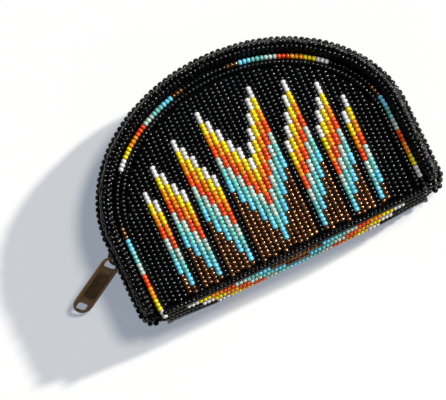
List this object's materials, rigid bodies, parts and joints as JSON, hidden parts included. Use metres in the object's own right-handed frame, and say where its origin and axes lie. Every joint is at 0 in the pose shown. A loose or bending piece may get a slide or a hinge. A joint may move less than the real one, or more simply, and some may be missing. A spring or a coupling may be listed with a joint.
{
  "type": "beaded coin purse",
  "caption": "Half-round coin purse of glass beadwork with raised rims, a bottom strip, a cloth lining and a zip round its crown.",
  "frame": {"origin": "under the middle of the purse with its puller, on the surface that it lies on", "axes": "+X to the right across the front, +Y from the bottom strip to the crown, +Z from the back to the front; it lies on its back"},
  "size_m": [0.1382, 0.0818, 0.027],
  "materials": {
    "black_beads": "glossy opaque black glass seed beads",
    "coloured_beads": "glossy opaque glass seed beads in several colours",
    "lining_cloth": "plain woven lining, matt",
    "tape_cloth": "herringbone zip tape, matt",
    "tooth_brass": "antique brass, satin",
    "aged_bronze": "dark aged bronze, satin, rubbed lighter on its edges"
  },
  "bodies": {
    "pouch": {"back_panel": "black_beads", "back_accent_row": "coloured_beads", "back_rim": "black_beads", "back_edge_beads": "black_beads", "bottom_gusset": "black_beads", "front_panel_lower": "black_beads", "front_accent_end_left": "coloured_beads", "front_accent_end_right": "coloured_beads", "front_rim_end_left": "black_beads", "front_rim_end_right": "black_beads", "front_edge_beads_left": "black_beads", "front_edge_beads_right": "black_beads", "back_lining": "lining_cloth", "gusset_lining": "lining_cloth", "front_lining_lower": "lining_cloth", "back_zip_tape": "tape_cloth", "front_zip_tape_end_left": "tape_cloth", "front_zip_tape_end_right": "tape_cloth", "back_zip_teeth": "tooth_brass", "front_zip_teeth_end_left": "tooth_brass", "front_zip_teeth_end_right": "tooth_brass", "front_top_stop": "tooth_brass", "back_top_stop": "tooth_brass", "bottom_stop": "tooth_brass"},
    "mouth_flap": {"front_panel_upper": "black_beads", "front_accent_row": "coloured_beads", "front_rim": "black_beads", "front_edge_beads": "black_beads", "front_lining_upper": "lining_cloth", "front_zip_tape": "tape_cloth", "front_zip_teeth": "tooth_brass"},
    "slider": {"slider_body": "aged_bronze"},
    "puller": {"puller_tab": "aged_bronze"}
  },
  "joints": [
    {"name": "mouth_opening", "type": "hinge", "parent": "pouch", "child": "mouth_flap", "pos_m": [0.01009, -0.0059, 0.027], "axis": [1, 0, 0], "range_deg": [0, 50]},
    {"name": "slider_travel", "type": "hinge", "parent": "pouch", "child": "slider", "pos_m": [0.01009, -0.0176, 0.0135], "axis": [0, 0, 1], "range_deg": [-165.5, 0]},
    {"name": "puller_swing", "type": "hinge", "parent": "slider", "child": "puller", "pos_m": [-0.04705, -0.01037, 0.0135], "axis": [0, 0, 1], "range_deg": [-75, 20]}
  ]
}
